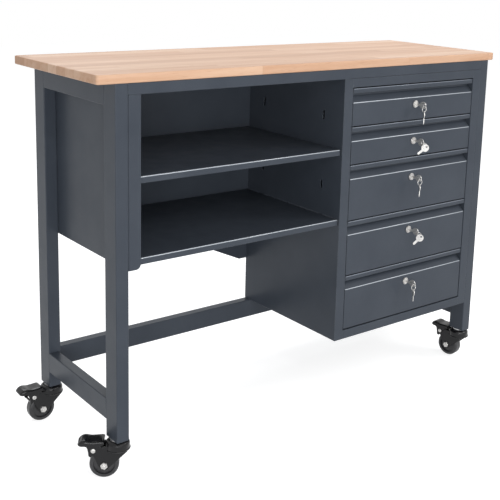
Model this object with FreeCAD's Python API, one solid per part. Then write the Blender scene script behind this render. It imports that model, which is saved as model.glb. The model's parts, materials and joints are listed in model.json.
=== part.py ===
import FreeCAD, Part
import math
import os

# Jewelers bench: a welded tube frame on four braked swivel casters carries a butcher-block top,
# an open compartment with two shelves on the left and a pedestal with five locking drawers on the right.
# Millimetres. +X is the right as seen from the front, +Y the back, +Z up. While it is being built the
# frame's left face is at X 0, its front face at Y 0 and the floor at Z 0.

# Frame
frame_length = 1155.0
frame_depth = 390.0
leg_width = 30.0
leg_depth = 50.0
leg_length = 790.0
tube_wall = 2.0
tube_corner = 2.0
long_rail_height = 25.0
side_rail_height = 50.0
rail_width = 25.0
lower_rail_rise = 38.0

# Worktop
worktop_thickness = 20.0
worktop_overhang_left = 42.0
worktop_overhang_right = 19.0
worktop_overhang_front = 3.0
worktop_overhang_back = 16.0
worktop_edge_radius = 3.0
worktop_corner_radius = 7.0
screw_radius = 2.5
screw_head_radius = 6.0
screw_head_height = 3.0
screw_depth = 14.0
screw_inset = 110.0
screw_row_inset = 30.0
screws_per_row = 4

# Sheet metal
sheet = 1.2
seat_clearance = 0.3
running_clearance = 0.05

# Left compartment
side_flange_width = 30.0
side_flange_setback = 1.0
side_flange_corner = 5.0
side_flange_fold = 2.5
side_flange_foot = 12.0
side_panel_rise = 388.0
back_panel_rise = 384.0
back_panel_hem = 12.0
rear_return_width = 20.0
shelf_lower_rise = 411.0
slot_pitch = 89.5
slot_rows = 4
slot_width = 6.0
slot_height = 22.0
slot_inset_front = 75.0
slot_inset_back = 70.0
shelf_setback = 5.0
shelf_lip = 15.0
shelf_hem = 12.0
shelf_rear_fold = 15.0
shelf_gap_left = 1.0
shelf_gap_right = 3.0
shelf_gap_back = 1.0
clip_length = 16.0
clip_reach = 14.0
clip_drop = 22.0
clip_sheet = 1.6
peg_reach = 1.2
peg_width = 5.0
peg_height = 8.0

# Drawer pedestal
pedestal_width = 500.0
pedestal_flange = 15.0
stile_width = 28.0
head_height = 22.0
sill_height = 23.0
frame_return = 20.0
cross_rail_height = 14.0
cross_rail_depth = 8.0
cross_rail_setback = 22.0
floor_hem = 12.0
upright_depth = 25.0
upright_setback = 44.0
upright_spacing = 250.0
gusset_reach = 147.0
gusset_lap = 16.0
gusset_drop_outer = 120.0
gusset_drop_inner = 176.0
gusset_nose = 25.0

# Drawers
small_drawer_count = 2
large_drawer_count = 3
small_front_height = 94.0
front_gap = 3.0
front_side_gap = 2.5
front_setback = 1.0
lip_height = 11.0
groove_height = 24.0
groove_depth = 17.0
groove_slope_rise = 16.0
front_return = 14.0
slide_height = 35.0
slide_depth = 8.0
slide_length = 340.0
slide_setback = 26.0
slide_rise = 34.0
slide_side_room = 12.7
tray_length = 342.0
tray_bottom_rise = 10.0
tray_top_drop = 12.0
tray_wall = 1.2
drawer_travel = 240.0

# Cam locks and keys
lock_drop = 53.0
lock_flange_radius = 9.5
lock_flange_height = 2.0
lock_radius = 8.0
lock_length = 29.0
plug_radius = 6.0
plug_lead = 0.8
nut_across_flats = 21.0
nut_thickness = 3.0
cam_length = 53.0
cam_width = 13.0
cam_sheet = 2.0
cam_screw_radius = 4.0
cam_screw_height = 2.0
key_sheet = 1.8
key_bow_radius = 9.5
key_bow_stretch = 1.0
key_hole_radius = 2.6
key_hole_inset = 5.0
key_shank_width = 6.0
key_reach = 35.0
ring_wire = 0.9
ring_radius = 7.5
ring_play = 0.1
key_length = 36.0
key_turns = (-37.0, 38.0, -37.0, 38.0, -30.0)
key_tilts = (42.0, 46.0, 0.0, 40.0, 0.0)
ring_leans = (0.0, 62.0, 0.0, 62.0, 0.0)
key_insertion = 20.0

# Casters
caster_height = 90.0
caster_trail = 29.0
wheel_radius = 32.5
wheel_width = 24.0
wheel_shoulder = 5.0
hub_radius = 11.0
web_width = 14.0
rim_thickness = 8.5
axle_radius = 4.0
axle_reach = 2.0
crown_radius = 27.0
crown_depth = 21.0
crown_shoulder = 9.0
crown_top_gap = 3.0
fork_sheet = 2.5
fork_inner_width = 29.0
fork_boss_radius = 11.5
fork_corner_radius = 6.0
fork_shoulder = 16.5
pivot_boss_radius = 5.5
stem_radius = 6.0
stem_engagement = 22.0
stem_flange_radius = 17.0
stem_head_radius = 10.0
stem_head_height = 5.0
insert_plate = 5.0
insert_nut_radius = 10.0
insert_nut_height = 12.0
insert_clearance = 0.2
pedal_pivot_trail = 52.0
pedal_pivot_height = 70.0
pedal_pin_radius = 3.0
pin_head_radius = 5.0
pin_head_height = 2.0
pedal_sheet = 2.0
pedal_gap = 0.5
pedal_travel = 10.0
pedal_back = 23.5
pedal_reach = 34.0
pedal_plate_bottom = 13.0
pedal_plate_top = 20.5
pedal_ridge = 22.5
pedal_ridge_reach = 18.0
pedal_tip_rise = 13.0
pedal_tip_width = 5.0
pedal_skirt = 5.0
pedal_curve = 8.0
pedal_tip_corner = 5.0
brake_bar_radius = 2.5
brake_bar_trail = 57.5
brake_bar_height = 57.0
caster_angles = {"front_left": 148.0, "rear_left": 178.0, "front_right": 98.0, "rear_right": 165.0}

# Levels and lines that the rest is set out from
frame_top = caster_height + leg_length
rail_underside = frame_top - long_rail_height
lower_rail_bottom = caster_height + lower_rail_rise
lower_rail_top = lower_rail_bottom + side_rail_height
left_inner = leg_width
right_inner = frame_length - leg_width
pedestal_left = right_inner - pedestal_width
pedestal_bottom = lower_rail_top
pedestal_top = rail_underside
opening_left = pedestal_left + stile_width
opening_right = right_inner - stile_width
opening_bottom = pedestal_bottom + sill_height
opening_top = pedestal_top - head_height
back_panel_front = frame_depth - 2 * sheet
shelf_left = left_inner + sheet + shelf_gap_left
shelf_right = pedestal_left - shelf_gap_right
shelf_back = back_panel_front - shelf_gap_back
shelf_tops = [caster_height + shelf_lower_rise + 2 * slot_pitch * level for level in (0, 1)]
slot_lines = (slot_inset_front, frame_depth - slot_inset_back)
drawer_count = small_drawer_count + large_drawer_count
lock_line = (opening_left + opening_right) / 2


def V(x, y, z):
    return FreeCAD.Vector(x, y, z)


X_AXIS = V(1, 0, 0)
Y_AXIS = V(0, 1, 0)
Z_AXIS = V(0, 0, 1)


# ---- shape helpers ----

def box(x, y, z):
    """A block between two values on each axis."""
    return Part.makeBox(x[1] - x[0], y[1] - y[0], z[1] - z[0], V(x[0], y[0], z[0]))


def rod(radius, start, end):
    """A cylinder from one point to another."""
    run = end - start
    return Part.makeCylinder(radius, run.Length, start, run)


def in_plane(plane, level, a, b):
    """The space point of (a, b) in a plane that stands at a level of the third axis."""
    if plane == "YZ":
        return V(level, a, b)
    if plane == "XZ":
        return V(a, level, b)
    return V(a, b, level)


def prism(nodes, plane, low, high):
    """Extrudes a closed outline. A node is a corner, or an arc's start, middle and end."""
    spans = [node if isinstance(node[0], tuple) else (node,) for node in nodes]
    edges = []
    for index, span in enumerate(spans):
        points = [in_plane(plane, low, a, b) for a, b in span]
        if len(points) == 3:
            edges.append(Part.Arc(points[0], points[1], points[2]).toShape())
        following = in_plane(plane, low, *spans[(index + 1) % len(spans)][0])
        if (following - points[-1]).Length > 1e-6:
            edges.append(Part.LineSegment(points[-1], following).toShape())
    run = in_plane(plane, high, 0, 0) - in_plane(plane, low, 0, 0)
    solid = Part.Face(Part.Wire(edges)).extrude(run)
    if solid.Volume < 0:
        solid.reverse()
    return solid


def unit(a, b):
    length = math.hypot(a, b)
    return (a / length, b / length)


def bent_sheet(path, thickness, plane, low, high):
    """Folds a sheet along a path of its right-hand face, with its metal to the left of the path.

    Each fold is sharp inside and rounded outside by the sheet's thickness.
    """
    normals = []
    for start, end in zip(path, path[1:]):
        along = unit(end[0] - start[0], end[1] - start[1])
        normals.append((-along[1], along[0]))

    def shifted(point, direction, distance):
        return (point[0] + direction[0] * distance, point[1] + direction[1] * distance)

    near_side = [path[0]]
    far_side = [shifted(path[0], normals[0], thickness)]
    for index in range(1, len(path) - 1):
        before = normals[index - 1]
        after = normals[index]
        middle = unit(before[0] + after[0], before[1] + after[1])
        reach = thickness / (middle[0] * before[0] + middle[1] * before[1])
        if before[0] * after[1] - before[1] * after[0] > 0:
            centre = shifted(path[index], middle, reach)
            arc = [shifted(centre, way, -thickness) for way in (before, middle, after)]
            near_side.append(tuple(arc))
            far_side.append(centre)
        else:
            arc = [shifted(path[index], way, thickness) for way in (before, middle, after)]
            near_side.append(path[index])
            far_side.append(tuple(arc))
    near_side.append(path[-1])
    far_side.append(shifted(path[-1], normals[-1], thickness))
    returning = [tuple(reversed(n)) if isinstance(n[0], tuple) else n for n in reversed(far_side)]
    return prism(near_side + returning, plane, low, high)


def hull_plate(circles, plane, low, high):
    """A flat plate wrapped tightly round circles (a, b, radius), named anticlockwise."""
    tangents = []
    for index, (a1, b1, r1) in enumerate(circles):
        a2, b2, r2 = circles[(index + 1) % len(circles)]
        length = math.hypot(a2 - a1, b2 - b1)
        along = unit(a2 - a1, b2 - b1)
        lean = (r1 - r2) / length
        out = math.sqrt(1 - lean * lean)
        tangents.append((along[0] * lean + along[1] * out, along[1] * lean - along[0] * out))
    nodes = []
    for index, (a, b, radius) in enumerate(circles):
        before = tangents[index - 1]
        after = tangents[index]
        if abs(before[0] + after[0]) + abs(before[1] + after[1]) < 1e-6:
            middle = (after[1], -after[0])
        else:
            middle = unit(before[0] + after[0], before[1] + after[1])
        if before[0] * after[1] - before[1] * after[0] < -1e-9:
            middle = (-middle[0], -middle[1])
        ways = (before, middle, after)
        nodes.append(tuple((a + radius * way[0], b + radius * way[1]) for way in ways))
    return prism(nodes, plane, low, high)


def tube(x, y, z, axis):
    """A rectangular tube with rounded outer corners, open at both ends."""
    outer = box(x, y, z)
    along = [edge for edge in outer.Edges if abs(edge.tangentAt(edge.FirstParameter).dot(axis)) > 0.9]
    outer = outer.makeFillet(tube_corner, along)
    spans = []
    for (low, high), direction in zip((x, y, z), (X_AXIS, Y_AXIS, Z_AXIS)):
        margin = -1.0 if abs(direction.dot(axis)) > 0.9 else tube_wall
        spans.append((low + margin, high - margin))
    return outer.cut(box(*spans))


def fused(shapes):
    """Joins touching shapes into one clean solid."""
    return shapes[0].fuse(shapes[1:]).removeSplitter()


# ---- frame and worktop ----

leg_corners = {
    "front_left": (0.0, 0.0),
    "front_right": (right_inner, 0.0),
    "rear_left": (0.0, frame_depth - leg_depth),
    "rear_right": (right_inner, frame_depth - leg_depth),
}


def screw_places():
    """The worktop screws' lines, as (x, y), in one row along each long rail."""
    first = left_inner + screw_inset
    pitch = (right_inner - screw_inset - first) / (screws_per_row - 1)
    rows = (screw_row_inset, frame_depth - screw_row_inset)
    return [(first + pitch * index, y) for y in rows for index in range(screws_per_row)]


def frame():
    nodes = {}
    for name, (x, y) in leg_corners.items():
        nodes["leg_" + name] = tube((x, x + leg_width), (y, y + leg_depth),
                                    (caster_height, frame_top), Z_AXIS)
    across = (left_inner, right_inner)
    drill = [rod(screw_radius + 0.2, V(x, y, rail_underside - 1), V(x, y, frame_top + 1))
             for x, y in screw_places()]
    for name, y in (("front", 0.0), ("rear", frame_depth - leg_depth)):
        rail = tube(across, (y, y + leg_depth), (rail_underside, frame_top), X_AXIS)
        nodes["top_rail_" + name] = rail.cut(drill)
    between = (leg_depth, frame_depth - leg_depth)
    for name, x in (("left", 0.0), ("right", frame_length - rail_width)):
        width = (x, x + rail_width)
        nodes["top_rail_" + name] = tube(width, between,
                                         (frame_top - side_rail_height, frame_top), Y_AXIS)
        nodes["lower_rail_" + name] = tube(width, between, (lower_rail_bottom, lower_rail_top), Y_AXIS)
    rear = (frame_depth - rail_width, frame_depth)
    nodes["lower_rail_rear"] = tube(across, rear, (lower_rail_bottom, lower_rail_top), X_AXIS)
    return nodes


def worktop():
    slab = box((-worktop_overhang_left, frame_length + worktop_overhang_right),
               (-worktop_overhang_front, frame_depth + worktop_overhang_back),
               (frame_top, frame_top + worktop_thickness))
    upright = [edge for edge in slab.Edges if abs(edge.tangentAt(edge.FirstParameter).dot(Z_AXIS)) > 0.9]
    slab = slab.makeFillet(worktop_corner_radius, upright)
    level = [edge for edge in slab.Edges if abs(edge.tangentAt(edge.FirstParameter).dot(Z_AXIS)) < 0.1]
    slab = slab.makeFillet(worktop_edge_radius, level)
    screws = []
    pilots = []
    for x, y in screw_places():
        pilots.append(rod(screw_radius + running_clearance, V(x, y, frame_top - 1),
                          V(x, y, frame_top + screw_depth + 1)))
        shank = rod(screw_radius, V(x, y, rail_underside), V(x, y, frame_top + screw_depth))
        head = rod(screw_head_radius, V(x, y, rail_underside - screw_head_height),
                   V(x, y, rail_underside))
        screws.append(fused([head, shank]))
    return {"worktop": slab.cut(pilots), "worktop_screws": Part.makeCompound(screws)}


# ---- left compartment ----

def slots_through(x):
    """Cutters for the shelf slots through an upright sheet at x."""
    cutters = []
    for row in range(slot_rows):
        middle = shelf_tops[0] - sheet - clip_drop / 2 + slot_pitch * row
        for y in slot_lines:
            cutters.append(box((x - 1, x + sheet + 1), (y - slot_width / 2, y + slot_width / 2),
                               (middle - slot_height / 2, middle + slot_height / 2)))
    return cutters


def left_side_panel():
    """The plain left wall, with a narrow fold behind and a wide flange in front."""
    bottom = caster_height + side_panel_rise
    edge = left_inner + side_flange_width
    path = [(left_inner + rear_return_width, frame_depth), (left_inner, frame_depth),
            (left_inner, side_flange_setback + side_flange_fold),
            (left_inner + side_flange_fold, side_flange_setback), (edge, side_flange_setback)]
    panel = bent_sheet(path, sheet, "XY", bottom, rail_underside)
    corner = box((left_inner - 1, left_inner + side_flange_corner),
                 (0, side_flange_setback + side_flange_corner),
                 (rail_underside - side_flange_corner, rail_underside + 1))
    turn = V(left_inner + side_flange_corner, 0, rail_underside - side_flange_corner)
    corner = corner.cut(rod(side_flange_corner, turn, turn + V(0, 2 * side_flange_corner, 0)))
    foot = box((edge - side_flange_foot, edge + 1), (0, side_flange_setback + 2 * sheet),
               (bottom - 1, bottom + side_flange_foot))
    turn = V(edge - side_flange_foot, 0, bottom + side_flange_foot)
    foot = foot.cut(rod(side_flange_foot, turn, turn + V(0, 2 * side_flange_foot, 0)))
    return panel.cut([corner, foot])


def back_panel():
    bottom = caster_height + back_panel_rise
    face = frame_depth - sheet
    path = [(face - back_panel_hem, bottom), (face, bottom), (face, rail_underside)]
    return bent_sheet(path, sheet, "YZ", left_inner + sheet, pedestal_left)


def shelf(top):
    path = [(shelf_back, top - shelf_rear_fold), (shelf_back, top), (shelf_setback, top),
            (shelf_setback, top - shelf_lip), (shelf_setback + shelf_hem, top - shelf_lip)]
    return bent_sheet(path, sheet, "YZ", shelf_left, shelf_right)


def shelf_clips():
    """Bent clips under the shelves: welded on the left wall, pegged in the slots on the right."""
    clips = []
    for top in shelf_tops:
        seat = top - sheet
        middle = seat - clip_drop / 2
        for y in slot_lines:
            span = (y - clip_length / 2, y + clip_length / 2)
            peg_span = (y - peg_width / 2, y + peg_width / 2)
            peg_rise = (middle - peg_height / 2, middle + peg_height / 2)
            wall = left_inner + sheet
            path = [(wall + clip_reach, seat), (wall, seat), (wall, seat - clip_drop)]
            clips.append(bent_sheet(path, clip_sheet, "XZ", *span))
            wall = pedestal_left
            path = [(wall, seat - clip_drop), (wall, seat), (wall - clip_reach, seat)]
            clip = bent_sheet(path, clip_sheet, "XZ", *span)
            clips.append(fused([clip, box((wall - clip_sheet, wall + peg_reach), peg_span, peg_rise)]))
    return Part.makeCompound(clips)


def compartment():
    return {
        "left_side_panel": left_side_panel(),
        "back_panel": back_panel(),
        "shelf_lower": shelf(shelf_tops[0]),
        "shelf_upper": shelf(shelf_tops[1]),
        "shelf_clips": shelf_clips(),
    }


# ---- drawer pedestal ----

def drawer_levels():
    """Each drawer front's bottom and top, from the top drawer down."""
    clear = opening_top - opening_bottom - front_gap * (drawer_count + 1)
    large_front_height = (clear - small_drawer_count * small_front_height) / large_drawer_count
    levels = []
    top = opening_top - front_gap
    for index in range(drawer_count):
        height = small_front_height if index < small_drawer_count else large_front_height
        levels.append((top - height, top))
        top -= height + front_gap
    return levels


def pedestal_sides():
    span = (sheet, frame_depth)
    path = [(pedestal_left + pedestal_flange, pedestal_top), (pedestal_left, pedestal_top),
            (pedestal_left, pedestal_bottom), (pedestal_left + pedestal_flange, pedestal_bottom)]
    left = bent_sheet(path, sheet, "XZ", *span).cut(slots_through(pedestal_left))
    path = [(right_inner - pedestal_flange, pedestal_bottom), (right_inner, pedestal_bottom),
            (right_inner, pedestal_top), (right_inner - pedestal_flange, pedestal_top)]
    return left, bent_sheet(path, sheet, "XZ", *span)


def face_frame():
    """The folded frame round the drawers, and the strike rail that each drawer's cam turns behind."""
    left = bent_sheet([(pedestal_left, 0), (opening_left, 0), (opening_left, frame_return)],
                      sheet, "XY", pedestal_bottom, pedestal_top)
    right = bent_sheet([(opening_right, frame_return), (opening_right, 0), (right_inner, 0)],
                       sheet, "XY", pedestal_bottom, pedestal_top)
    head = bent_sheet([(0, pedestal_top), (0, opening_top), (frame_return, opening_top)],
                      sheet, "YZ", opening_left, opening_right)
    sill = bent_sheet([(frame_return, opening_bottom), (0, opening_bottom), (0, pedestal_bottom)],
                      sheet, "YZ", opening_left, opening_right)
    pieces = [left, right, head, sill]
    front = cross_rail_setback
    back = front + cross_rail_depth
    for bottom, top in drawer_levels():
        high = top + front_gap / 2 + cross_rail_height / 2
        low = high - cross_rail_height
        pieces.append(bent_sheet([(back, high), (front, high), (front, low), (back, low)],
                                 sheet, "YZ", pedestal_left + sheet, right_inner - sheet))
    return Part.makeCompound(pieces)


def pedestal_floor():
    low = pedestal_bottom + sheet
    front = frame_return + sheet
    back = frame_depth - sheet
    path = [(front, low + floor_hem), (front, low), (back, low), (back, low + floor_hem)]
    return bent_sheet(path, sheet, "YZ", pedestal_left + sheet, right_inner - sheet)


def pedestal_back():
    return box((pedestal_left + sheet, right_inner - sheet), (frame_depth - sheet, frame_depth),
               (pedestal_bottom + sheet, pedestal_top - sheet))


def pedestal_gusset():
    """The brace that ties the back panel's foot to the pedestal's rear edge."""
    foot = caster_height + back_panel_rise
    outline = [(pedestal_left, foot - gusset_drop_inner), (pedestal_left, foot + gusset_lap),
               (pedestal_left - gusset_reach, foot + gusset_lap),
               (pedestal_left - gusset_reach, foot - gusset_drop_outer),
               (pedestal_left - gusset_nose, foot - gusset_drop_inner)]
    return prism(outline, "XZ", frame_depth - sheet, frame_depth)


def slide_uprights():
    """Channels between the pedestal's sides and the drawer slides, a front and a rear one each side."""
    pieces = []
    low = pedestal_bottom + 2 * sheet + floor_hem
    high = pedestal_top - sheet
    for setback in (upright_setback, upright_setback + upright_spacing):
        back = setback + upright_depth
        wall = pedestal_left + sheet
        path = [(opening_left, back), (wall, back), (wall, setback), (opening_left, setback)]
        pieces.append(bent_sheet(path, sheet, "XY", low, high))
        wall = right_inner - sheet
        path = [(opening_right, setback), (wall, setback), (wall, back), (opening_right, back)]
        pieces.append(bent_sheet(path, sheet, "XY", low, high))
    return Part.makeCompound(pieces)


def slide_middle(bottom):
    return bottom + slide_rise


def slide_channel(wall, way, half, depth, middle, inset):
    """A channel along the drawer's travel, its back on a wall and its open side facing way."""
    low = middle - half
    high = middle + half
    edge = wall + way * depth
    path = [(edge, high), (wall, high), (wall, low), (edge, low)]
    if way < 0:
        path.reverse()
    return bent_sheet(path, sheet, "XZ", inset, inset + slide_length)


def cabinet_slides():
    pieces = []
    for bottom, top in drawer_levels():
        middle = slide_middle(bottom)
        for wall, way in ((opening_left, 1), (opening_right, -1)):
            pieces.append(slide_channel(wall, way, slide_height / 2, slide_depth, middle, slide_setback))
    return Part.makeCompound(pieces)


def pedestal():
    left, right = pedestal_sides()
    return {
        "pedestal_left_side": left,
        "pedestal_right_side": right,
        "pedestal_floor": pedestal_floor(),
        "pedestal_back": pedestal_back(),
        "pedestal_gusset": pedestal_gusset(),
        "drawer_face_frame": face_frame(),
        "slide_uprights": slide_uprights(),
        "drawer_slides": cabinet_slides(),
    }


# ---- drawers ----

front_left = opening_left + front_side_gap
front_right = opening_right - front_side_gap
tray_left = opening_left + slide_side_room
tray_right = opening_right - slide_side_room
tray_front = front_setback + groove_depth + sheet
strike_back = cross_rail_setback + cross_rail_depth
lock_back = front_setback + lock_length


def lock_height(top):
    return top - lock_drop


def lock_hole(top, radius):
    """A cutter along a lock's line, through the front and the tray."""
    z = lock_height(top)
    return rod(radius, V(lock_line, -1, z), V(lock_line, tray_front + tray_wall + 1, z))


def drawer_front(bottom, top):
    """A folded front: the lip, the sloped finger groove under it, the face and its returns."""
    face = front_setback
    groove_back = face + groove_depth
    fold = top - lip_height - groove_height
    path = [(face + sheet, top - lip_height), (face + sheet, top - sheet), (groove_back, top - sheet),
            (groove_back, fold + groove_slope_rise), (face, fold), (face, bottom),
            (face + front_return, bottom)]
    panel = bent_sheet(path, sheet, "YZ", front_left, front_right)
    depth = (face + sheet / 2, face + front_return)
    rise = (bottom + sheet / 2, fold - sheet)
    ends = [box((x, x + sheet), depth, rise) for x in (front_left, front_right - sheet)]
    return fused([panel] + ends).cut(lock_hole(top, lock_radius + running_clearance))


def drawer_tray(bottom, top):
    """An open tray of five plates, with a runner on each side that rides inside the cabinet's slide."""
    x = (tray_left, tray_right)
    y = (tray_front, tray_front + tray_length)
    low = bottom + tray_bottom_rise
    z = (low + tray_wall, top - tray_top_drop)
    inside_x = (x[0] + tray_wall, x[1] - tray_wall)
    front = box(inside_x, (y[0], y[0] + tray_wall), z)
    plates = [box(x, y, (low, low + tray_wall)),
              box((x[0], inside_x[0]), y, z),
              box((inside_x[1], x[1]), y, z),
              box(inside_x, (y[1] - tray_wall, y[1]), z),
              front.cut(lock_hole(top, lock_radius + running_clearance))]
    half = slide_height / 2 - sheet - seat_clearance
    inset = sheet + seat_clearance
    middle = slide_middle(bottom)
    depth = slide_side_room - inset
    runners = [slide_channel(opening_left + inset, 1, half, depth, middle, slide_setback),
               slide_channel(opening_right - inset, -1, half, depth, middle, slide_setback)]
    return Part.makeCompound(plates + runners)


def hexagon(across_flats, y, z, low, high):
    """A hexagonal prism along Y, centred on the lock line."""
    radius = across_flats / math.sqrt(3)
    corners = [(lock_line + radius * math.cos(math.radians(60 * step)),
                z + radius * math.sin(math.radians(60 * step))) for step in range(6)]
    return prism(corners, "XZ", low, high)


def lock_body(top):
    """The lock's fixed barrel with its flange on the drawer's face, and the nut inside the tray."""
    z = lock_height(top)
    centre = V(lock_line, 0, z)
    flange = rod(lock_flange_radius, centre + V(0, front_setback - lock_flange_height, 0),
                 centre + V(0, front_setback, 0))
    barrel = rod(lock_radius, centre + V(0, front_setback, 0), centre + V(0, lock_back, 0))
    bore = rod(plug_radius + running_clearance, centre - V(0, lock_flange_height, 0),
               centre + V(0, lock_back + 1, 0))
    inner = tray_front + tray_wall
    nut = hexagon(nut_across_flats, 0, z, inner, inner + nut_thickness)
    nut = nut.cut(rod(lock_radius + running_clearance, centre,
                      centre + V(0, inner + nut_thickness + 1, 0)))
    return Part.makeCompound([fused([flange, barrel]).cut(bore), nut])


def key_plate(length):
    """A flat key in the YZ plane: its bow's hole is at the origin and its blade points up +Y."""
    half = key_sheet / 2
    bow_centre = key_bow_radius - key_hole_inset
    bow = hull_plate([(bow_centre, 0, key_bow_radius),
                      (bow_centre + key_bow_stretch, 0, key_bow_radius)], "YZ", -half, half)
    tip = length - key_hole_inset
    blade = prism([(bow_centre, -key_shank_width / 2), (tip - key_shank_width / 2, -key_shank_width / 2),
                   (tip, 0), (tip - key_shank_width / 2, key_shank_width / 2),
                   (bow_centre, key_shank_width / 2)], "YZ", -half, half)
    hole = rod(key_hole_radius, V(-key_sheet, 0, 0), V(key_sheet, 0, 0))
    return fused([bow, blade]).cut(hole)


def lock_keys(top, turn, tilt, lean):
    """The turning plug, its cam and the cam's screw, with the key, the ring and the spare key."""
    z = lock_height(top)
    centre = V(lock_line, 0, z)
    plug_front = front_setback - lock_flange_height - plug_lead
    cam_front = max(lock_back, strike_back) + seat_clearance
    cam_back = cam_front + cam_sheet
    plug = rod(plug_radius, centre + V(0, plug_front, 0), centre + V(0, cam_front, 0))
    half_cam = cam_width / 2
    cam = hull_plate([(lock_line - cam_length + half_cam, z, half_cam), (lock_line, z, half_cam)],
                     "XZ", cam_front, cam_back)
    screw = rod(cam_screw_radius, centre + V(0, cam_back, 0), centre + V(0, cam_back + cam_screw_height, 0))
    hole_line = plug_front - key_reach + key_hole_inset
    inserted = key_plate(key_reach + key_insertion)
    inserted.translate(centre + V(0, hole_line, 0))
    hang = key_hole_radius - ring_wire - ring_play
    hole = V(lock_line, hole_line, z)
    ring = Part.makeTorus(ring_radius, ring_wire, V(0, 0, -hang - ring_radius), Y_AXIS)
    ring.rotate(V(0, 0, 0), X_AXIS, -lean)
    ring.translate(hole)
    drop = 2 * (hang + ring_radius)
    swing = math.radians(lean)
    spare = key_plate(key_length)
    spare.rotate(V(0, 0, 0), X_AXIS, tilt - 90)
    spare.rotate(V(0, 0, 0), Z_AXIS, turn)
    spare.translate(hole - V(0, drop * math.sin(swing), drop * math.cos(swing)))
    return Part.makeCompound([plug.cut(inserted), cam, screw, inserted, ring, spare])


def drawers():
    nodes = {}
    for index, (bottom, top) in enumerate(drawer_levels()):
        name = str(index + 1)
        turn = key_turns[index % len(key_turns)]
        tilt = key_tilts[index % len(key_tilts)]
        lean = ring_leans[index % len(ring_leans)]
        nodes["drawer_front_" + name] = drawer_front(bottom, top)
        nodes["drawer_tray_" + name] = drawer_tray(bottom, top)
        nodes["lock_body_" + name] = lock_body(top)
        nodes["lock_keys_" + name] = lock_keys(top, turn, tilt, lean)
    return nodes


# ---- casters ----
# A caster is made with its swivel line on Z, trailing along +X, then turned and set under its leg.

fork_half = fork_inner_width / 2
fork_outer = fork_half + fork_sheet
crown_top = caster_height - crown_top_gap
crown_bottom = crown_top - crown_depth
pedal_half = fork_outer + pedal_gap + pedal_sheet


def leg_centre(corner):
    x, y = leg_corners[corner]
    return V(x + leg_width / 2, y + leg_depth / 2, 0)


def placed(shape, corner):
    shape.rotate(V(0, 0, 0), Z_AXIS, caster_angles[corner])
    shape.translate(leg_centre(corner))
    return shape


def turned(profile, axis_point, axis):
    """Revolves a closed profile of (radius, height) round Z, or (radius, width) round an axle."""
    edges = profile + [profile[0]]
    face = Part.Face(Part.makePolygon([V(r, 0, h) for r, h in edges]))
    solid = face.revolve(V(0, 0, 0), Z_AXIS, 360)
    if axis is Y_AXIS:
        solid.rotate(V(0, 0, 0), X_AXIS, -90)
    solid.translate(axis_point)
    return solid


def stem():
    """The fixed stem: its flange is clamped under the leg and its riveted head holds up the fork."""
    seat = caster_height
    head_top = crown_top - fork_sheet - seat_clearance
    profile = [(0, head_top - stem_head_height), (stem_head_radius, head_top - stem_head_height),
               (stem_head_radius, head_top), (stem_radius, head_top),
               (stem_radius, crown_top + seat_clearance),
               (stem_flange_radius, crown_top + seat_clearance), (stem_flange_radius, seat),
               (stem_radius, seat), (stem_radius, seat + stem_engagement), (0, seat + stem_engagement)]
    return turned(profile, V(0, 0, 0), Z_AXIS)


def leg_insert(corner):
    """The plate and nut welded inside a leg's foot, which the stem screws into."""
    x, y = leg_corners[corner]
    gap = tube_wall + insert_clearance
    plate = box((x + gap, x + leg_width - gap), (y + gap, y + leg_depth - gap),
                (caster_height, caster_height + insert_plate))
    foot = leg_centre(corner) + V(0, 0, caster_height)
    nut = rod(insert_nut_radius, foot + V(0, 0, insert_plate),
              foot + V(0, 0, insert_plate + insert_nut_height))
    bore = rod(stem_radius + running_clearance, foot - V(0, 0, 1), foot + V(0, 0, 2 * stem_engagement))
    return fused([plate, nut]).cut(bore)


def crown():
    """The domed raceway cover on top of the fork."""
    inner = crown_radius - fork_sheet
    profile = [(stem_radius + running_clearance, crown_top - fork_sheet),
               (inner - crown_shoulder, crown_top - fork_sheet),
               (inner, crown_top - crown_shoulder - fork_sheet), (inner, crown_bottom),
               (crown_radius, crown_bottom), (crown_radius, crown_top - crown_shoulder)]
    for step in range(1, 5):
        angle = math.radians(90 * step / 5)
        profile.append((crown_radius - crown_shoulder * (1 - math.cos(angle)),
                        crown_top - crown_shoulder * (1 - math.sin(angle))))
    profile.append((crown_radius - crown_shoulder, crown_top))
    profile.append((stem_radius + running_clearance, crown_top))
    return turned(profile, V(0, 0, 0), Z_AXIS)


def fork():
    """The crown with its two cheeks, and the axle and the pedal's pin across them."""
    cheeks = []
    for low, high in ((fork_half, fork_outer), (-fork_outer, -fork_half)):
        rounds = [(-fork_shoulder, crown_bottom + fork_corner_radius / 3, fork_corner_radius),
                  (caster_trail, wheel_radius, fork_boss_radius),
                  (pedal_pivot_trail, pedal_pivot_height, pivot_boss_radius),
                  (0, crown_top - crown_shoulder - fork_corner_radius, fork_corner_radius)]
        cheek = hull_plate(rounds, "XZ", low, high)
        for radius, x, z in ((axle_radius, caster_trail, wheel_radius),
                             (pedal_pin_radius, pedal_pivot_trail, pedal_pivot_height)):
            cheek = cheek.cut(rod(radius, V(x, -2 * fork_outer, z), V(x, 2 * fork_outer, z)))
        cheeks.append(cheek)
    body = fused([crown()] + cheeks)
    axle_end = fork_outer + axle_reach
    axle = rod(axle_radius, V(caster_trail, -axle_end, wheel_radius),
               V(caster_trail, axle_end, wheel_radius))
    head_low = pedal_half + seat_clearance
    head_high = head_low + pin_head_height
    at = V(pedal_pivot_trail, 0, pedal_pivot_height)
    pin = fused([rod(pedal_pin_radius, at - V(0, head_high, 0), at + V(0, head_high, 0)),
                 rod(pin_head_radius, at + V(0, head_low, 0), at + V(0, head_high, 0)),
                 rod(pin_head_radius, at - V(0, head_high, 0), at - V(0, head_low, 0))])
    return Part.makeCompound([body, axle, pin])


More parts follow.
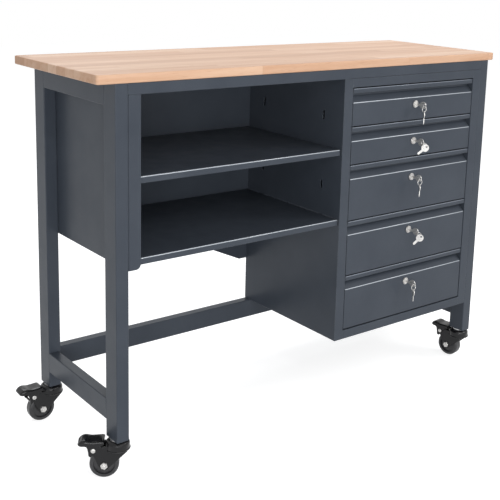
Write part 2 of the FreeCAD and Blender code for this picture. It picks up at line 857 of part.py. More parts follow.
def wheel():
    """A wheel with a boss that fills the fork, a thin web and a rim with rounded shoulders."""
    boss = fork_half - seat_clearance
    half = wheel_width / 2
    web = web_width / 2
    rim_inner = wheel_radius - rim_thickness
    bore = axle_radius + running_clearance
    side = [(bore, boss), (hub_radius, boss), (hub_radius, web), (rim_inner, web), (rim_inner, half)]
    for step in range(5):
        angle = math.radians(90 * step / 4)
        side.append((wheel_radius - wheel_shoulder * (1 - math.sin(angle)),
                     half - wheel_shoulder * (1 - math.cos(angle))))
    mirrored = [(radius, -height) for radius, height in reversed(side)]
    return turned(side + mirrored, V(caster_trail, 0, wheel_radius), Y_AXIS)


def pedal():
    """The foot lever: a channel over the fork's ears with a raised nose, and the bar over the tread."""
    x = pedal_pivot_trail
    z = pedal_pivot_height
    back = x - pedal_back
    tip = x + pedal_reach
    low = z + pedal_plate_bottom
    high = z + pedal_plate_top
    ridge = x + pedal_ridge_reach
    bar_end = brake_bar_trail + 2 * brake_bar_radius
    shallow = high - pedal_sheet / 2
    nose = z + 2 * pedal_skirt
    outline = [(back, low), (x - 2 * pedal_skirt, z + pedal_skirt),
               (x - pedal_skirt, z - pedal_skirt),
               (x + pedal_skirt, brake_bar_height - 2 * brake_bar_radius / 3),
               (bar_end, brake_bar_height), (bar_end, z), (x + 3 * pedal_skirt, nose),
               (tip - pedal_tip_width, nose), (tip, z + pedal_tip_rise),
               (tip - pedal_tip_width, shallow), (ridge, z + pedal_ridge), (x + pedal_skirt, shallow),
               (back + pedal_skirt, high), (back, high - pedal_sheet)]
    body = prism(outline, "XZ", -pedal_half, pedal_half)
    crests = [edge for edge in body.Edges if abs(edge.tangentAt(edge.FirstParameter).y) > 0.9
              and edge.CenterOfMass.x > x and edge.CenterOfMass.z > high - pedal_sheet]
    body = body.makeFillet(pedal_curve, crests)
    tips = [edge for edge in body.Edges if edge.CenterOfMass.x > tip - pedal_tip_width
            and abs(edge.CenterOfMass.y) > pedal_half - 0.1
            and abs(edge.tangentAt(edge.FirstParameter).y) < 0.1]
    body = body.makeFillet(pedal_tip_corner, tips)
    inner = pedal_half - pedal_sheet
    room = pivot_boss_radius + pedal_skirt
    ceiling = low + pedal_sheet
    hollow = prism([(back - 1, z - pedal_back), (x + room, z - pedal_back), (x + room, z + pedal_skirt),
                    (x + pivot_boss_radius, ceiling), (back - 1, ceiling)], "XZ", -inner, inner)
    bore = rod(pedal_pin_radius + running_clearance, V(x, -2 * pedal_half, z), V(x, 2 * pedal_half, z))
    body = body.cut([hollow, bore])
    bar = rod(brake_bar_radius, V(brake_bar_trail, -pedal_half, brake_bar_height),
              V(brake_bar_trail, pedal_half, brake_bar_height))
    return fused([body, bar])


def casters():
    nodes = {
        "caster_stems": Part.makeCompound([placed(stem(), corner) for corner in leg_corners]),
        "leg_inserts": Part.makeCompound([leg_insert(corner) for corner in leg_corners]),
    }
    for corner in leg_corners:
        nodes["caster_fork_" + corner] = placed(fork(), corner)
        nodes["caster_wheel_" + corner] = placed(wheel(), corner)
        nodes["brake_pedal_" + corner] = placed(pedal(), corner)
    return nodes


# ---- the whole bench, set over the centre of its own outline on the floor ----

bench = {}
for group in (frame(), worktop(), compartment(), pedestal(), drawers(), casters()):
    bench.update(group)

outline_box = Part.makeCompound(list(bench.values())).optimalBoundingBox(False, False)
origin = V((outline_box.XMin + outline_box.XMax) / 2, (outline_box.YMin + outline_box.YMax) / 2,
           outline_box.ZMin)

os.makedirs("parts", exist_ok=True)
for node_name, shape in bench.items():
    shape.translate(-origin)
    shape.exportStep("parts/" + node_name + ".step")
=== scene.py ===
import json
import math

import bpy
from mathutils import Matrix, Vector


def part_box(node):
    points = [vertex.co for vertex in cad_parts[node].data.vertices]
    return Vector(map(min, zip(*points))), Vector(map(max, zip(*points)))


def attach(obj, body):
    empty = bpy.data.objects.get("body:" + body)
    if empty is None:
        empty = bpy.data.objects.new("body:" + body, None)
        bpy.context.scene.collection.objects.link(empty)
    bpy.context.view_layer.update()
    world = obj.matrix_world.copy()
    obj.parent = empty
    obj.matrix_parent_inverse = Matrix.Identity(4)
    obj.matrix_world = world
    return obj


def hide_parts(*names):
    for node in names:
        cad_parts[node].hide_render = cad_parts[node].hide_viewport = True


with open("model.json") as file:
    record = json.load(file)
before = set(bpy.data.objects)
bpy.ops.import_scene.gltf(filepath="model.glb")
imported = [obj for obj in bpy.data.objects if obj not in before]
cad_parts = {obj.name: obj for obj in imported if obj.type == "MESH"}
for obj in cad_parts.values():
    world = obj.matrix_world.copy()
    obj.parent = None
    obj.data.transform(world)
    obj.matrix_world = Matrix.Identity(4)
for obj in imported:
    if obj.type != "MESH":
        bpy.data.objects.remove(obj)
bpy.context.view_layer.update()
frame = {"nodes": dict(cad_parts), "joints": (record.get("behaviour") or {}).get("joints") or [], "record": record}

nodes = frame["nodes"]
joints = {joint["name"]: joint for joint in frame["joints"]}
slot_of = {part["node"]: part["material_slot"] for part in frame["record"]["subparts"]}
corners = ("front_left", "front_right", "rear_left", "rear_right")
drawers = range(1, 6)

up = Vector((0.0, 0.0, 1.0))
to_front = Vector((0.0, -1.0, 0.0))
white = (1.0, 1.0, 1.0)
mm = 0.001


# ---- node helpers ----

class Tree:
    """Short calls for building one node tree."""

    def __init__(self, tree):
        self.tree = tree

    def plug(self, socket, value):
        """Links another node's output to a socket, or sets a number, vector or colour on it."""
        if isinstance(value, bpy.types.NodeSocket):
            self.tree.links.new(value, socket)
        elif socket.type == "RGBA":
            socket.default_value = (*value, 1.0)
        else:
            socket.default_value = value

    def node(self, kind, inputs=(), **settings):
        made = self.tree.nodes.new(kind)
        for key, value in settings.items():
            setattr(made, key, value)
        for socket, value in dict(inputs).items():
            self.plug(made.inputs[socket], value)
        return made

    def math(self, operation, first, second=0.0):
        return self.node("ShaderNodeMath", {0: first, 1: second}, operation=operation).outputs[0]

    def vector_math(self, operation, first, second, output="Vector"):
        return self.node("ShaderNodeVectorMath", {0: first, 1: second}, operation=operation).outputs[output]


class Material(Tree):
    """A material with its Principled shader."""

    flat_turn, edge_turn = 0.995, 0.90  # how far the softened normal agrees with the face's own
    bevel_samples = 6
    sockets = {"color": "Base Color", "roughness": "Roughness", "metallic": "Metallic", "normal": "Normal",
               "specular": "Specular IOR Level"}

    def __init__(self, name):
        self.material = bpy.data.materials.new(name)
        self.material.use_nodes = True
        super().__init__(self.material.node_tree)
        self.shader = self.tree.nodes["Principled BSDF"]

    def place(self):
        return self.node("ShaderNodeTexCoord").outputs["Object"]

    def noise(self, vector, scale=1.0, detail=2.0, roughness=0.5, distortion=0.0):
        return self.node("ShaderNodeTexNoise", {
            "Vector": vector, "Scale": scale, "Detail": detail, "Roughness": roughness,
            "Distortion": distortion,
        }).outputs["Fac"]

    def stretched_noise(self, vector, scales, detail=2.0, roughness=0.5, distortion=0.0):
        """Noise with a scale of its own along each axis."""
        stretched = self.vector_math("MULTIPLY", vector, scales)
        return self.noise(stretched, detail=detail, roughness=roughness, distortion=distortion)

    def spread(self, value, low, high, start=0.3, end=0.7):
        """Maps start to end on to low to high, and holds those outside."""
        return self.node("ShaderNodeMapRange", {
            "Value": value, "From Min": start, "From Max": end, "To Min": low, "To Max": high,
        }).outputs["Result"]

    def mix(self, factor, first, second):
        return self.node("ShaderNodeMix", {0: factor, 6: first, 7: second}, data_type="RGBA").outputs[2]

    def ramp(self, value, stops):
        made = self.node("ShaderNodeValToRGB", {"Fac": value})
        while len(made.color_ramp.elements) < len(stops):
            made.color_ramp.elements.new(1.0)
        for element, (position, colour) in zip(made.color_ramp.elements, stops):
            element.position = position
            element.color = (*colour, 1.0)
        return made.outputs["Color"]

    def bump(self, height, strength, distance, normal=None):
        inputs = {"Height": height, "Strength": strength, "Distance": distance}
        if normal is not None:
            inputs["Normal"] = normal
        return self.node("ShaderNodeBump", inputs).outputs["Normal"]

    def softened(self, radius):
        """The normal, rounded off along edges."""
        return self.node("ShaderNodeBevel", {"Radius": radius}, samples=self.bevel_samples).outputs[0]

    def edges(self, soft):
        """From 0 on flats to 1 along the edges that a softened normal rounds off."""
        flat = self.node("ShaderNodeNewGeometry").outputs["Normal"]
        turn = self.vector_math("DOT_PRODUCT", soft, flat, output="Value")
        return self.spread(turn, low=1.0, high=0.0, start=self.edge_turn, end=self.flat_turn)

    def finish(self, **values):
        for key, value in values.items():
            self.plug(self.shader.inputs[self.sockets[key]], value)
        return self.material


# ---- finishes ----

def powder_coat(name, dark, pale, shine, gloss):
    """Satin powder coat: faint clouding and specks, fine orange peel, soft waviness, and a painted highlight along
    the edges.
    """
    edge_radius = 0.0009
    speck_color = (0.026, 0.032, 0.043)
    # colour of the painted highlight along the edges
    paler_patch_color = (0.14, 0.16, 0.18)
    uneven_shine = 0.08
    t = Material(name)
    place = t.place()
    cloud = t.noise(place, scale=7.0, detail=4.0, roughness=0.6)
    color = t.mix(t.spread(cloud, low=0.0, high=1.0), dark, pale)
    speck = t.noise(place, scale=1400.0, detail=1.0)
    color = t.mix(t.spread(speck, low=0.0, high=0.35, start=0.55, end=0.8), color, speck_color)
    soft = t.softened(edge_radius)
    # painted highlight along the edges that the softened normal rounds off, broken into patches by this noise
    wear = t.spread(t.noise(place, scale=55.0, detail=3.0), low=0.3, high=0.8)
    color = t.mix(t.math("MULTIPLY", t.edges(soft), wear), color, paler_patch_color)
    haze = t.noise(place, scale=24.0, detail=3.0)
    wave = t.bump(t.noise(place, scale=5.0, detail=1.0), strength=0.25, distance=0.004, normal=soft)
    peel = t.bump(t.noise(place, scale=520.0), strength=0.16, distance=0.0006, normal=wave)
    return t.finish(color=color, roughness=t.spread(haze, low=shine, high=shine + uneven_shine),
                    normal=peel, specular=gloss)


def butcher_block():
    """Laminated hardwood: staves along the bench, each with its own tone and grain, under lacquer."""
    stave_width, stave_length = 0.0415, 0.47
    start_x, start_y = 3.0, 0.7  # keep every stave's number positive
    most_shift = 9.0             # stave lengths that a row may be moved along
    jump = (7.0, 7.0, 7.0)       # how far apart in the wood two staves' grain may lie
    tones = [(0.0, (0.53, 0.325, 0.215)), (0.35, (0.59, 0.375, 0.255)), (0.7, (0.63, 0.415, 0.290)),
             (1.0, (0.69, 0.480, 0.350))]
    ring_color, light_color, pore_color = (0.46, 0.23, 0.12), (0.80, 0.62, 0.46), (0.30, 0.15, 0.08)
    glue_share = 0.28
    t = Material("worktop")
    place = t.place()

    # which stave a point lies on
    parts = t.node("ShaderNodeSeparateXYZ", {0: place})
    across = t.math("DIVIDE", t.math("ADD", parts.outputs["Y"], start_y), stave_width)
    row = t.math("FLOOR", across)
    shift = t.node("ShaderNodeTexWhiteNoise", {"W": row}, noise_dimensions="1D").outputs["Value"]
    straight = t.math("DIVIDE", t.math("ADD", parts.outputs["X"], start_x), stave_length)
    along = t.math("ADD", straight, t.math("MULTIPLY", shift, most_shift))
    column = t.math("FLOOR", along)
    stave = t.node("ShaderNodeCombineXYZ", {0: row, 1: column}).outputs[0]
    random = t.node("ShaderNodeTexWhiteNoise", {"Vector": stave}, noise_dimensions="3D")

    # tone, growth rings, light streaks and pores
    tone = t.ramp(random.outputs["Value"], tones)
    moved = t.vector_math("ADD", place, t.vector_math("MULTIPLY", random.outputs["Color"], jump))
    rings = t.stretched_noise(moved, (2.4, 46.0, 46.0), detail=5.0, roughness=0.62, distortion=0.8)
    color = t.mix(t.spread(rings, low=0.0, high=0.34, start=0.42, end=0.66), tone, ring_color)
    light = t.stretched_noise(moved, (1.1, 20.0, 20.0), detail=3.0)
    color = t.mix(t.spread(light, low=0.0, high=0.35, start=0.5, end=0.75), color, light_color)
    pores = t.stretched_noise(moved, (36.0, 900.0, 900.0))
    color = t.mix(t.spread(pores, low=0.0, high=0.30, start=0.60, end=0.72), color, pore_color)

    # thin dark glue lines between the staves
    beside, before = (t.math("ABSOLUTE", t.math("SUBTRACT", t.math("FRACT", count), 0.5))
                      for count in (across, along))
    glue = t.math("MAXIMUM", t.spread(beside, low=0.0, high=1.0, start=0.487, end=0.497),
                  t.spread(before, low=0.0, high=1.0, start=0.4985, end=0.4996))
    color = t.mix(t.math("MULTIPLY", glue, glue_share), color, pore_color)
    return t.finish(color=color, roughness=t.spread(rings, low=0.30, high=0.40),
                    normal=t.bump(pores, strength=0.10, distance=0.0003), specular=0.08)


def metal(name, low, high, roughness, streak=False, bump=0.04, metallic=1.0):
    """A plated metal with faint clouding, fine scratches and an uneven shine."""
    scratch_scales = (900.0, 60.0, 900.0) if streak else (500.0, 500.0, 500.0)
    t = Material(name)
    place = t.place()
    cloud = t.noise(place, scale=60.0, detail=3.0)
    color = t.mix(t.spread(cloud, low=0.0, high=1.0), low, high)
    scratches = t.stretched_noise(place, scratch_scales)
    rough = t.spread(scratches, low=roughness - 0.05, high=roughness + 0.06)
    return t.finish(color=color, roughness=rough, metallic=metallic,
                    normal=t.bump(scratches, strength=bump, distance=0.0002))


def gloss_black(name, tint, roughness):
    """Black enamel with softened edges, a light orange peel and a little dust."""
    edge_radius = 0.0016
    dust_color = tuple(2.0 * c + 0.004 for c in tint)
    t = Material(name)
    place = t.place()
    soft = t.softened(edge_radius)
    dust = t.noise(place, scale=160.0, detail=4.0, roughness=0.7)
    color = t.mix(t.spread(dust, low=0.0, high=0.5, start=0.55, end=0.8), tint, dust_color)
    haze = t.noise(place, scale=90.0, detail=3.0)
    peel = t.bump(t.noise(place, scale=480.0), strength=0.08, distance=0.0004, normal=soft)
    return t.finish(color=color, roughness=t.spread(haze, low=roughness - 0.05, high=roughness + 0.08),
                    normal=peel, specular=0.30)


def wheel_rubber():
    """Dull moulded tread with a fine grain and a little grey wear."""
    rubber_color, paler_patch_color = (0.014, 0.014, 0.016), (0.040, 0.040, 0.043)
    t = Material("wheel")
    place = t.place()
    wear = t.noise(place, scale=45.0, detail=4.0, roughness=0.65)
    color = t.mix(t.spread(wear, low=0.0, high=0.8, start=0.45, end=0.75), rubber_color, paler_patch_color)
    grain = t.bump(t.noise(place, scale=700.0, detail=3.0), strength=0.15, distance=0.0004)
    return t.finish(color=color, roughness=t.spread(wear, low=0.30, high=0.48), normal=grain)


finishes = {
    "powder_coat": powder_coat("powder_coat", dark=(0.043, 0.051, 0.065), pale=(0.053, 0.062, 0.077),
                               shine=0.30, gloss=0.14),
    # paler copy of the powder coat for the rolled bends: a painted highlight, brightest on the grooves' and
    # shelves' bends
    "powder_fold": powder_coat("powder_fold", dark=(0.36, 0.39, 0.43), pale=(0.44, 0.47, 0.51),
                               shine=0.14, gloss=0.80),
    # dimmer copy of the powder coat for the drawers' lip bends: a softer painted highlight
    "powder_lip_highlight": powder_coat("powder_lip_highlight", dark=(0.12, 0.14, 0.17), pale=(0.16, 0.18, 0.22),
                              shine=0.18, gloss=0.60),
    "worktop": butcher_block(),
    "zinc": metal("zinc", low=(0.50, 0.51, 0.53), high=(0.66, 0.66, 0.66), roughness=0.34),
    "chrome": metal("chrome", low=(0.48, 0.47, 0.46), high=(0.62, 0.61, 0.59), roughness=0.30,
                    streak=True, bump=0.10, metallic=0.72),
    "nickel": metal("nickel", low=(0.36, 0.35, 0.34), high=(0.52, 0.51, 0.50), roughness=0.28,
                    bump=0.10, metallic=0.85),
    "caster_black": gloss_black("caster_black", tint=(0.006, 0.006, 0.007), roughness=0.15),
    "pedal_black": gloss_black("pedal_black", tint=(0.007, 0.007, 0.008), roughness=0.14),
    "wheel": wheel_rubber(),
}

for name, obj in nodes.items():
    obj.data.materials.clear()
    obj.data.materials.append(finishes["nickel" if name.startswith("lock_body") else slot_of[name]])


# ---- mesh helpers ----

def add_piece(name, vertices, faces, body, slot, smooth=False, finish=None):
    """A mesh piece that rides on a body, in its slot's finish unless another is named."""
    mesh = bpy.data.meshes.new(name)
    mesh.from_pydata([tuple(v) for v in vertices], [], faces)
    mesh.update()
    if smooth:
        mesh.shade_smooth()
    obj = bpy.data.objects.new(name, mesh)
    bpy.context.scene.collection.objects.link(obj)
    obj.data.materials.append(finishes[finish or slot])
    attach(obj, body)
    return obj


def angles(sides):
    """The angles of evenly spaced points, once round."""
    return [2 * math.pi * step / sides for step in range(sides)]


def around(axis, sides):
    """Directions square to an axis, evenly round it."""
    side = axis.orthogonal().normalized()
    other = axis.cross(side)
    return [side * math.cos(angle) + other * math.sin(angle) for angle in angles(sides)]


def skin(rings, count, first=0):
    """Faces over a row of rings of count points each, from vertex first, with both ends capped."""
    last = first + (rings - 1) * count
    sides = []
    for base in range(first, last, count):
        for step in range(count):
            following = (step + 1) % count
            sides.append((base + step, base + following, base + count + following, base + count + step))
    return [tuple(reversed(range(first, first + count))), *sides, tuple(range(last, last + count))]


def turned(name, centre, axis, profile, sides, body, slot):
    """A solid turned round an axis from (radius, height) pairs."""
    centre, axis = Vector(centre), Vector(axis).normalized()
    vertices = [centre + axis * height + reach * radius
                for radius, height in profile for reach in around(axis, sides)]
    add_piece(name, vertices, skin(len(profile), sides), body, slot)


def closed_ring(name, centre, axis, profile, sides, body, slot, finish):
    """A ring turned round an axis from a closed loop of (radius, height) pairs."""
    centre, axis = Vector(centre), Vector(axis).normalized()
    vertices = [centre + axis * height + reach * radius
                for reach in around(axis, sides) for radius, height in profile]
    count = len(profile)
    faces = []
    for step in range(sides):
        base, following = step * count, (step + 1) % sides * count
        for point in range(count):
            after = (point + 1) % count
            faces.append((base + point, base + after, following + after, following + point))
    add_piece(name, vertices, faces, body, slot, smooth=True, finish=finish)


# ---- casters: axle nuts, caps on the levers' pins, rounded rims of the crowns ----

nut_profile = [(0.0082, 0.0), (0.0082, 0.0038), (0.0074, 0.0046), (0.0050, 0.0046), (0.0046, 0.0062),
               (0.0030, 0.0066)]
cap_profile = [(0.0053, 0.0), (0.0053, 0.0014), (0.0047, 0.0021), (0.0034, 0.0026), (0.0015, 0.0028)]
pin_ends = (  # name, joint, distance from the joint along its axis, profile, sides
    ("axle_nut", "wheel_%s_roll", 0.01705, nut_profile, 6),
    ("pin_cap", "brake_%s_press", 0.0199, cap_profile, 20),
)
for corner in corners:
    for kind, joint, rise, profile, sides in pin_ends:
        hinge = joints[joint % corner]
        for side, way in (("a", 1.0), ("b", -1.0)):
            axis = Vector(hinge["axis"]) * way
            turned("%s_%s_%s" % (kind, corner, side), Vector(hinge["pos_m"]) + axis * rise, axis, profile,
                   sides, "caster_" + corner, "chrome")

rim_height = 0.0672  # above the floor, at the crown's lower edge
rim_sides = 72
rim_profile = [(0.0262, -0.0013), (0.0273, -0.0012), (0.0281, -0.0005), (0.0283, 0.0003),
               (0.0281, 0.0011), (0.0273, 0.0017), (0.0262, 0.0018)]
for corner in corners:
    stem = joints["caster_%s_swivel" % corner]["pos_m"]
    closed_ring("crown_rim_" + corner, (stem[0], stem[1], rim_height), up, rim_profile, rim_sides,
                "caster_" + corner, slot_of["caster_fork_" + corner], "caster_black")


# ---- brake pedals with rolled edges, in millimetres from the pivot ----

pedal_sheet = 2.0
pedal_crown = 0.25  # how far the tread's middle stands above its shoulders
shoulder_steps = 6
sharp_angle = math.radians(38.0)
bar_along, bar_up, bar_half, bar_radius, bar_sides = 5.5, -13.0, 18.9, 2.5, 16
pedal_sections = [  # along, top, skirt, ceiling, half width, shoulder
    (-23.8, 17.4, 14.4, 15.0, 18.2, 1.4), (-23.3, 18.8, 12.8, 15.0, 19.4, 2.6),
    (-21.0, 20.0, 12.2, 15.0, 19.5, 3.4), (-18.0, 20.5, 11.0, 15.0, 19.5, 3.8),
    (-12.0, 20.3, 6.6, 15.0, 19.5, 4.0), (-8.0, 20.1, 1.0, 15.0, 19.5, 4.0),
    (-5.0, 19.9, -5.0, 15.0, 19.5, 4.0), (0.0, 19.7, -10.6, 15.0, 19.5, 4.0),
    (3.5, 19.6, -14.2, 15.0, 19.5, 4.0), (6.0, 19.8, -15.2, 15.0, 19.5, 4.0),
    (8.6, 20.3, -14.4, 15.0, 19.5, 4.2), (10.3, 20.7, -12.0, 15.0, 19.5, 4.4),
    (10.9, 20.9, -4.0, 15.0, 19.5, 4.4), (12.4, 21.3, 4.0, 12.0, 19.5, 4.6),
    (14.6, 21.9, 8.6, 9.4, 19.5, 5.0), (18.0, 22.5, 9.9, 10.0, 19.4, 5.4),
    (22.0, 22.3, 9.9, 10.0, 19.2, 5.8), (26.0, 21.0, 9.9, 10.0, 18.6, 5.6),
    (29.0, 19.0, 10.0, 10.1, 17.6, 4.6), (31.5, 16.8, 10.4, 10.5, 15.8, 3.2),
    (33.2, 14.8, 11.0, 11.1, 13.8, 1.8), (34.0, 13.5, 11.8, 11.9, 12.2, 0.8)]


def pedal_ring(top, skirt, ceiling, half, shoulder):
    """One section of the pedal, as (across, up) pairs: a channel with rounded shoulders."""
    turns = [step * math.pi / (2 * shoulder_steps) for step in range(shoulder_steps + 1)]
    bend = [(half - shoulder + shoulder * math.cos(turn), top - shoulder + shoulder * math.sin(turn))
            for turn in turns]
    crest = [(half * share, top + pedal_crown * (1.0 - share * share)) for share in (0.5, 0.0)]
    right = [(half, skirt)] + bend + crest
    outer = right + [(-across, height) for across, height in reversed(right[:-1])]
    inner = half - pedal_sheet
    return outer + [(-inner, skirt), (-inner, ceiling), (inner, ceiling), (inner, skirt)]


def pedal_cover(corner):
    """The lever's pressed channel and the bar that it carries over the tread."""
    hinge = joints["brake_%s_press" % corner]
    pivot, across = Vector(hinge["pos_m"]), Vector(hinge["axis"]).normalized()
    outward = across.cross(up)
    if outward.dot(pivot - Vector(joints["caster_%s_swivel" % corner]["pos_m"])) < 0.0:
        outward.negate()

    def point(along, side, height):
        return pivot + mm * (outward * along + across * side + Vector((0.0, 0.0, height)))

    rings = [[point(along, side, height) for side, height in pedal_ring(*section)]
             for along, *section in pedal_sections]
    vertices = [vertex for ring in rings for vertex in ring]
    faces = skin(len(rings), len(rings[0])) + skin(2, bar_sides, first=len(vertices))
    vertices += [point(bar_along + bar_radius * math.cos(angle), side, bar_up + bar_radius * math.sin(angle))
                 for side in (-bar_half, bar_half) for angle in angles(bar_sides)]
    node = "brake_pedal_" + corner
    cover = add_piece("pedal_cover_" + corner, vertices, faces, "brake_" + corner, slot_of[node], smooth=True)
    cover.data.set_sharp_from_angle(angle=sharp_angle)
    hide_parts(node)


for corner in corners:
    pedal_cover(corner)


# ---- locks: the first drawer's keys, and a rounded ring on each face ----

# the first drawer's spare key hangs straight down, as the third's does
spare = nodes["lock_keys_3"].copy()
spare.data = nodes["lock_keys_3"].data.copy()
spare.name = "keys_1_hanging"
bpy.context.scene.collection.objects.link(spare)
step_up = Vector(joints["lock_1_turn"]["pos_m"]) - Vector(joints["lock_3_turn"]["pos_m"])
spare.data.transform(spare.matrix_world.inverted() @ Matrix.Translation(step_up) @ spare.matrix_world)
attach(spare, "lock_1")
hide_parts("lock_keys_1")

bezel_sink = 0.00005  # how far the ring is let into the lock's flange
bezel_sides = 40
bezel_profile = [(0.0066, 0.0), (0.0066, 0.0009), (0.0072, 0.0015), (0.0080, 0.0015), (0.0087, 0.0009),
                 (0.0089, 0.0)]
for index in drawers:
    turn = joints["lock_%d_turn" % index]["pos_m"]
    low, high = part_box("lock_body_%d" % index)
    closed_ring("lock_bezel_%d" % index, (turn[0], low[1] + bezel_sink, turn[2]), to_front,
                bezel_profile, bezel_sides, "drawer_%d" % index, "chrome", "nickel")


# ---- rounded bends of the folded sheets, in paler paint as painted highlights ----

fold_radius = 0.0014
fold_sides = 14
fold_proud = 0.00025   # how far a bend stands out of the sheet's faces
fold_inset = 0.0004    # how far a bend ends short of the sheet
fold_ends = [(0.55, 0.0), (1.0, 0.0008)]  # share of the radius, distance from the end
groove_drop = 0.0356   # from the front's top down to the groove's lower bend


def rolled_fold(name, start, end, body, finish="powder_fold"):
    """The rounded bend of a folded sheet: a bar let into the fold, with rounded ends, in a paler paint that is a
    painted highlight.
    """
    start, end = Vector(start), Vector(end)
    axis = (end - start).normalized()
    stations = [(start + axis * inset, share) for share, inset in fold_ends]
    stations += [(end - axis * inset, share) for share, inset in reversed(fold_ends)]
    vertices = [centre + reach * fold_radius * share
                for centre, share in stations for reach in around(axis, fold_sides)]
    add_piece(name, vertices, skin(len(stations), fold_sides), body, "powder_coat", smooth=True,
              finish=finish)


let_in = fold_radius - fold_proud
for index in drawers:
    low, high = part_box("drawer_front_%d" % index)
    # the lip's bend and the groove's lower bend, each in a paler paint that is a painted highlight
    for kind, drop, finish in (("lip", let_in, "powder_lip_highlight"), ("groove", groove_drop, "powder_fold")):
        rolled_fold("%s_fold_%d" % (kind, index), (low[0] + fold_inset, low[1] + let_in, high[2] - drop),
                    (high[0] - fold_inset, low[1] + let_in, high[2] - drop), "drawer_%d" % index, finish)
for name in ("shelf_lower", "shelf_upper"):
    low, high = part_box(name)
    rolled_fold(name + "_fold", (low[0] + fold_inset, low[1] + let_in, high[2] - let_in),
                (high[0] - fold_inset, low[1] + let_in, high[2] - let_in), "bench")


# ---- camera ----

def photo_camera():
    """The photograph's camera, as solved from its perspective."""
    photo_width, sensor_width = 500.0, 36.0
    focal, centre_x, centre_y = 945.36, 290.03, 150.0  # in the photograph's pixels
    yaw, pitch, roll = 0.68107, 0.20049, 0.03176
    from_leg = Vector((-0.9130, -1.6928, 1.0501))
    place = Vector(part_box("leg_front_left")[0]) + from_leg
    forward = Vector((math.sin(yaw) * math.cos(pitch), math.cos(yaw) * math.cos(pitch), -math.sin(pitch)))
    level_right = Vector((math.cos(yaw), -math.sin(yaw), 0.0))
    level_up = level_right.cross(forward)
    camera_right = level_right * math.cos(roll) + level_up * math.sin(roll)
    camera_up = level_up * math.cos(roll) - level_right * math.sin(roll)
    data = bpy.data.cameras.new("camera")
    data.sensor_width = sensor_width
    data.lens = sensor_width * focal / photo_width
    data.shift_x = 0.5 - centre_x / photo_width
    data.shift_y = centre_y / photo_width - 0.5
    data.clip_start = 0.01
    data.clip_end = 100.0
    camera = bpy.data.objects.new("camera", data)
    turn = Matrix((camera_right, camera_up, -forward)).transposed()
    camera.matrix_world = Matrix.Translation(place) @ turn.to_4x4()
    bpy.context.scene.collection.objects.link(camera)
    bpy.context.scene.camera = camera


photo_camera()


# ---- studio ----

floor_reach = 9.0
floor_color = (0.62, 0.62, 0.62)
floor_lift = 0.72  # how much white is seen on top of the floor's own shade
ambient_color, ambient_strength = (0.96, 0.98, 1.0), 0.46
lamps = (  # name, place, target, width, height, watts, colour
    ("key", (0.9, -3.6, 2.7), (0.0, 0.0, 0.5), 2.6, 1.2, 30.0, (1.0, 0.99, 0.97)),
    ("low", (-0.9, -4.4, 0.8), (0.0, 0.0, 0.5), 2.4, 1.0, 28.0, white),
    ("side", (-2.6, -3.6, 0.9), (0.0, 0.0, 0.5), 1.6, 1.2, 66.0, (0.98, 0.99, 1.0)),
    ("fill", (-3.6, -2.2, 1.5), (0.0, 0.0, 0.5), 2.2, 1.8, 5.0, (0.95, 0.98, 1.0)),
    ("rim", (2.7, -2.3, 2.7), (0.1, 0.0, 0.6), 1.1, 1.1, 36.0, white),
    ("top", (0.6, 0.6, 3.4), (0.2, 0.0, 0.9), 2.0, 1.6, 36.0, white),
    ("spark", (-1.0, -3.0, 2.3), (0.0, 0.0, 0.4), 0.35, 0.35, 13.0, white),
    ("back", (0.4, 3.4, 3.0), (0.0, 0.0, 0.5), 2.2, 1.2, 26.0, (0.96, 0.98, 1.0)),
)


def area_light(name, place, target, width, height, power, color):
    """A soft lamp that no camera sees, aimed at a target."""
    data = bpy.data.lights.new(name, "AREA")
    data.shape = "RECTANGLE"
    data.size = width
    data.size_y = height
    data.energy = power
    data.color = color
    light = bpy.data.objects.new(name, data)
    light.location = place
    aim = Vector(target) - Vector(place)
    light.rotation_euler = aim.to_track_quat("-Z", "Y").to_euler()
    light.visible_camera = False
    bpy.context.scene.collection.objects.link(light)


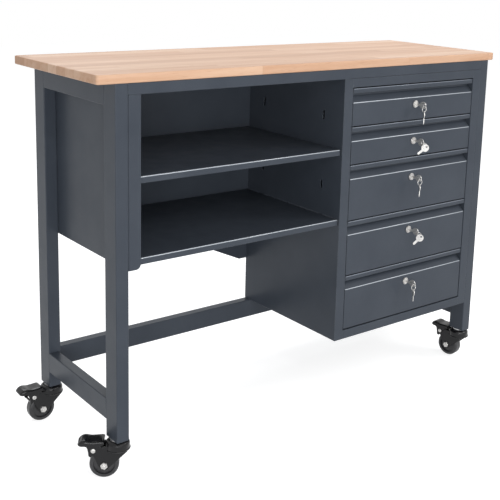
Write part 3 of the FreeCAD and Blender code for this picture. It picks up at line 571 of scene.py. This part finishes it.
def looking_rays(t):
    """1 for rays that look straight, by reflection or through glass, and 0 for the rest."""
    path = t.node("ShaderNodeLightPath")
    total = path.outputs["Is Camera Ray"]
    for name in ("Is Glossy Ray", "Is Transmission Ray"):
        total = t.math("MAXIMUM", total, path.outputs[name])
    return total


def cleared(owner):
    """An empty node tree for a world or a material."""
    owner.use_nodes = True
    owner.node_tree.nodes.clear()
    return Tree(owner.node_tree)


def backdrop():
    """A world that is white where it is looked at and lights the object at a plain level."""
    world = bpy.data.worlds.new("studio")
    bpy.context.scene.world = world
    t = cleared(world)
    looking = looking_rays(t)
    ambient = t.node("ShaderNodeBackground", {"Color": ambient_color, "Strength": ambient_strength})
    seen = t.node("ShaderNodeBackground", {"Color": white, "Strength": 1.0})
    both = t.node("ShaderNodeMixShader", {0: looking, 1: ambient.outputs[0], 2: seen.outputs[0]})
    t.node("ShaderNodeOutputWorld", {0: both.outputs[0]})


def pale_floor():
    """A floor that is white where it is looked at, keeps the object's shadow and is clear from below."""
    mesh = bpy.data.meshes.new("floor")
    square = [(-1.0, -1.0), (1.0, -1.0), (1.0, 1.0), (-1.0, 1.0)]
    mesh.from_pydata([(x * floor_reach, y * floor_reach, 0.0) for x, y in square], [], [(0, 1, 2, 3)])
    floor = bpy.data.objects.new("floor", mesh)
    bpy.context.scene.collection.objects.link(floor)
    material = bpy.data.materials.new("floor")
    t = cleared(material)
    looking = looking_rays(t)
    diffuse = t.node("ShaderNodeBsdfDiffuse", {"Color": floor_color}).outputs[0]
    glow = t.node("ShaderNodeEmission", {"Color": white, "Strength": looking}).outputs[0]
    bright = t.node("ShaderNodeAddShader", {0: diffuse, 1: glow}).outputs[0]
    above = t.node("ShaderNodeMixShader", {0: floor_lift, 1: diffuse, 2: bright}).outputs[0]
    clear = t.node("ShaderNodeBsdfTransparent").outputs[0]
    below = t.node("ShaderNodeNewGeometry").outputs["Backfacing"]
    surface = t.node("ShaderNodeMixShader", {0: below, 1: above, 2: clear}).outputs[0]
    t.node("ShaderNodeOutputMaterial", {0: surface})
    floor.data.materials.append(material)


bpy.context.scene.view_settings.view_transform = "Standard"
backdrop()
pale_floor()
for lamp in lamps:
    area_light(*lamp)
